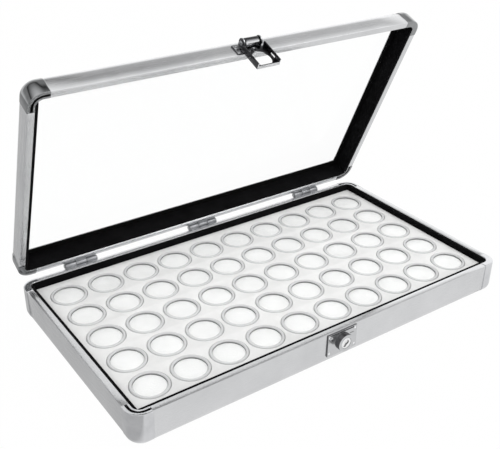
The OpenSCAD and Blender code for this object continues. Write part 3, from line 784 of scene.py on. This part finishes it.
def jar_places():
    """Centre of every jar, and whether it is the loose one."""
    loose = Vector(((CAP_LOW.x + CAP_HIGH.x) / 2, (CAP_LOW.y + CAP_HIGH.y) / 2, 0))
    places = []
    for column in range(JAR_COLUMNS):
        for row in range(JAR_ROWS):
            x = (column - (JAR_COLUMNS - 1) / 2) * JAR_PITCH_X
            y = (row - (JAR_ROWS - 1) / 2) * JAR_PITCH_Y
            centre = Vector((x, y, 0))
            places.append((centre, (centre - loose).length < 1))
    return places


def foam_insert():
    """White foam block with a softly edged pocket for every jar."""
    block = flat_plate("foam_block", FOAM_HIGH.xy, FOAM_CORNER_R, FOAM_LOW.z, FOAM_HIGH.z)
    low, high = CUP_LOW.z, FOAM_HIGH.z + POCKET_PAST_TOP
    radius = CAP_R + POCKET_PLAY
    profile = [(0, low), (radius, low), (radius, high), (0, high)]
    pockets = bmesh.new()
    for centre, _ in jar_places():
        merge(pockets, lathe(profile, centre))
    combine(block, plain_object("pockets", pockets), "DIFFERENCE")
    soften(block, width=0.5, segments=3)
    finish_piece(block, "insert", WHITE_FOAM, ["foam_insert"])


def cup_profile():
    """Section of a jar cup, with a rounded foot and lip."""
    low, high = CUP_LOW.z, CUP_HIGH.z
    inner, floor_top = CUP_R - CUP_WALL, low + CUP_WALL
    return [
        (AXIS_R, low),
        (CUP_R - 1.2, low),
        (CUP_R - 0.35, low + 0.35),
        (CUP_R, low + 1.2),
        (CUP_R, high - 0.3),
        (CUP_R - 0.25, high),
        (inner + 0.25, high),
        (inner, high - 0.3),
        (inner, floor_top + 0.7),
        (inner - 0.3, floor_top + 0.2),
        (inner - 1.0, floor_top),
        (AXIS_R, floor_top),
    ]


def cap_profile():
    """Section of a jar cap, with a bead round its top."""
    low, high = CAP_LOW.z, CAP_HIGH.z + CAP_PROUD
    inner = CAP_R - CAP_SKIRT
    return [
        (AXIS_R, high - 0.55),
        (CAP_R - 2.6, high - 0.55),
        (CAP_R - 2.1, high - 0.35),
        (CAP_R - 1.7, high - 0.05),
        (CAP_R - 1.1, high),
        (CAP_R - 0.45, high - 0.15),
        (CAP_R - 0.1, high - 0.6),
        (CAP_R, high - 1.2),
        (CAP_R, low + 0.3),
        (CAP_R - 0.2, low),
        (inner + 0.2, low),
        (inner, low + 0.3),
        (inner, high - 2.0),
        (inner - 0.6, high - 1.5),
        (inner - 1.2, high - 1.35),
        (AXIS_R, high - 1.35),
    ]


def pad_profile():
    """Section of a foam pad, crowned a little, that the cap just clears."""
    low, high = PAD_LOW.z, PAD_HIGH.z + CAP_PROUD
    return [
        (AXIS_R, low),
        (PAD_R - 0.4, low),
        (PAD_R, low + 0.4),
        (PAD_R, high - 1.0),
        (PAD_R - 0.3, high - 0.45),
        (PAD_R - 1.0, high - 0.2),
        (PAD_R * 0.5, high - 0.05),
        (AXIS_R, high),
    ]


def jar_pieces(loose):
    """Cups, caps and pads of the jars that stay, or of the loose one."""
    kinds = {
        "cup": (cup_profile(), CUP_PLASTIC, "jar_clear"),
        "cap": (cap_profile(), CAP_PLASTIC, "jar_clear"),
        "pad": (pad_profile(), PAD_FOAM, "white_foam"),
    }
    for kind, (profile, material, slot) in kinds.items():
        whole = bmesh.new()
        for centre, is_loose in jar_places():
            if is_loose == loose:
                merge(whole, lathe(profile, centre))
        if loose:
            obj = plain_object(f"loose_{kind}", whole)
            body = "sample_cap" if kind == "cap" else "sample_jar"
            finish_piece(obj, body, material, [f"sample_jar_{kind}"])
        else:
            obj = plain_object(f"{kind}_set", whole)
            finish_piece(obj, "insert", material, [f"jar_{kind}s"])


foam_insert()
jar_pieces(loose=False)
jar_pieces(loose=True)


# Hinges, lock and latch keep the shapes of their nodes, with rounded edges


def dressed(node, body, material, width=0.2):
    """A copy of a node's mesh with its flat faces joined and its edges rounded."""
    mesh = frame["nodes"][node].data.copy()
    mesh.materials.clear()
    bm = bmesh.new()
    bm.from_mesh(mesh)
    bmesh.ops.remove_doubles(bm, verts=bm.verts, dist=1e-6)
    bmesh.ops.dissolve_limit(bm, angle_limit=math.radians(1), verts=bm.verts, edges=bm.edges)
    bm.to_mesh(mesh)
    bm.free()
    obj = linked(f"{node}_skin", mesh)
    soften(obj, width=width, angle=50)
    finish_piece(obj, body, material, [node], smooth=45)


for place in ("left", "middle", "right"):
    dressed(f"hinge_base_leaf_{place}", "base", HINGE_METAL)
    dressed(f"hinge_lid_leaf_{place}", "lid", HINGE_METAL)
    dressed(f"hinge_pin_{place}", "base", HINGE_METAL)
dressed("hinge_base_rivets", "base", FITTING_METAL, width=0.4)
dressed("hinge_lid_rivets", "lid", FITTING_METAL, width=0.4)
dressed("lock_plate", "base", LOCK_METAL, width=0.3)
dressed("lock_plate_rivets", "base", FITTING_METAL, width=0.15)
dressed("lock_housing", "base", HIDDEN_METAL)
dressed("lock_cylinder", "lock_core", CORE_METAL)
dressed("lock_bolt", "bolt", HIDDEN_METAL)
dressed("latch_plate", "lid", PLATE_METAL)
dressed("latch_plate_rivets", "lid", LATCH_METAL_PAINTED_SHADE, width=0.15)
dressed("hasp_pin", "lid", LATCH_METAL_PAINTED_SHADE, width=0.3)
dressed("latch_hasp", "hasp", HASP_METAL, width=0.25)
for node_name in ("base_corner_cores", "base_corner_rivets"):
    dressed(node_name, "base", HIDDEN_METAL)
for node_name in ("lid_corner_cores", "lid_corner_rivets"):
    dressed(node_name, "lid", HIDDEN_METAL)


# Floor, light and camera, in metres and degrees

# The floor's reach, the share of its glow that the camera sees, its glow in what mirrors it,
# left of the case, where a painted shadow dims it, and elsewhere, and the stretch of X in which that glow
# changes
FLOOR_HALF = 6.0
FLOOR_SHARE = 0.985
FLOOR_MIRRORED_GLOW_WITH_PAINTED_SHADOW = (0.62, 0.95)
FLOOR_PAINTED_SHADOW_EDGE = (-0.19, -0.18)

# Sky behind the case: its levels at positions along a direction that leans towards the camera
SKY_UP = (-0.4, -0.5, 1.0)
SKY_LEVELS = {0.0: 1.0, 0.23: 0.46, 0.55: 0.42, 0.64: 0.03, 1.0: 1.0}
SKY_STRENGTH = 1.3

# Sky in front of the case, which fades out a little way behind it
FRONT_LEVEL = 0.9
FRONT_FADE = 0.22

# The camera, and the point that the lamps face
CAMERA_LENS = 58.06
CAMERA_PLACE = (-0.36523, -0.48900, 0.40907)
CAMERA_TURN = (61.4647, -0.6682, -35.0086)
LAMP_AIM = Vector((0, 0, 0.05))


def ray_share(tree, shares):
    """The largest value that a table gives for the kinds of ray that arrive, or 0."""
    path = tree.nodes.new("ShaderNodeLightPath")
    largest, *others = (math_of(tree, "MULTIPLY", path.outputs[kind], shares[kind]) for kind in shares)
    for other in others:
        largest = math_of(tree, "MAXIMUM", largest, other)
    return largest


def floor():
    """Pale floor that shows white to the camera and keeps a faint shadow; what mirrors it sees a painted
    shadow left of the case.
    """
    bm = bmesh.new()
    half = FLOOR_HALF / MM
    bm.faces.new([bm.verts.new((x * half, y * half, 0)) for x, y in ((-1, -1), (1, -1), (1, 1), (-1, 1))])
    obj = plain_object("floor", bm)
    material, tree, shader = start_material("floor_white")
    shader.inputs["Base Color"].default_value = (0.8, 0.8, 0.8, 1)
    shader.inputs["Roughness"].default_value = 0.9
    shader.inputs["Specular IOR Level"].default_value = 0.1
    glow = tree.nodes.new("ShaderNodeEmission")
    geometry = tree.nodes.new("ShaderNodeNewGeometry")
    across = axis_of(tree, geometry.outputs["Position"], "X")
    # Painted shadow: the glow that mirrors see is dimmed left of the case, where the case's shadow falls
    mirrored_glow_with_painted_shadow = spread(tree, across, *FLOOR_MIRRORED_GLOW_WITH_PAINTED_SHADOW, *FLOOR_PAINTED_SHADOW_EDGE)
    seen = {"Is Camera Ray": 1.0, "Is Transmission Ray": 1.0, "Is Glossy Ray": mirrored_glow_with_painted_shadow}
    tree.links.new(ray_share(tree, seen), glow.inputs["Strength"])
    share = {"Is Camera Ray": FLOOR_SHARE, "Is Transmission Ray": FLOOR_SHARE, "Is Glossy Ray": 1.0}
    blend(tree, ray_share(tree, share), shader.outputs["BSDF"], glow.outputs["Emission"])
    obj.data.materials.append(material)


def world():
    """White for the camera. What the case mirrors is bright in front, with a dark band high behind."""
    scene_world = bpy.data.worlds.new("studio")
    bpy.context.scene.world = scene_world
    scene_world.use_nodes = True
    tree = scene_world.node_tree
    tree.nodes.clear()
    tree.nodes.new("ShaderNodeOutputWorld")
    white = tree.nodes.new("ShaderNodeBackground")
    white.inputs["Color"].default_value = (1, 1, 1, 1)
    soft = tree.nodes.new("ShaderNodeBackground")
    soft.inputs["Strength"].default_value = SKY_STRENGTH
    source = tree.nodes.new("ShaderNodeTexCoord")
    ramp = tree.nodes.new("ShaderNodeValToRGB")
    stops = ramp.color_ramp.elements
    stops.remove(stops[1])
    for position, level in SKY_LEVELS.items():
        stop = stops.new(position) if position else stops[0]
        stop.color = (level, level, level, 1)
    tree.links.new(dot_with(tree, source.outputs["Generated"], SKY_UP), ramp.inputs["Fac"])
    behind = axis_of(tree, source.outputs["Generated"], "Y")
    front = spread(tree, behind, FRONT_LEVEL, 0.0, 0.0, FRONT_FADE)
    tree.links.new(math_of(tree, "MAXIMUM", ramp.outputs["Color"], front), soft.inputs["Color"])
    share = ray_share(tree, {"Is Camera Ray": 1.0, "Is Transmission Ray": 1.0})
    blend(tree, share, soft.outputs["Background"], white.outputs["Background"])


def softbox(name, place, size, power):
    """Square area lamp that faces the middle of the case."""
    data = bpy.data.lights.new(name, "AREA")
    data.shape = "SQUARE"
    data.size = size
    data.energy = power
    obj = linked(name, data)
    obj.location = place
    obj.rotation_euler = (LAMP_AIM - Vector(place)).to_track_quat("-Z", "Y").to_euler()


def camera():
    """Camera solved from the straight edges in the photograph."""
    data = bpy.data.cameras.new("view")
    data.lens = CAMERA_LENS
    data.sensor_width = 36.0
    data.clip_start = 0.01
    data.clip_end = 50.0
    obj = linked("view", data)
    obj.location = CAMERA_PLACE
    obj.rotation_euler = [math.radians(angle) for angle in CAMERA_TURN]
    bpy.context.scene.camera = obj


floor()
world()
softbox("key", (0.9, -1.0, 1.5), size=0.9, power=7.0)
softbox("fill", (-1.1, -0.9, 1.3), size=1.2, power=2.0)
camera()
bpy.context.scene.view_settings.view_transform = "Standard"
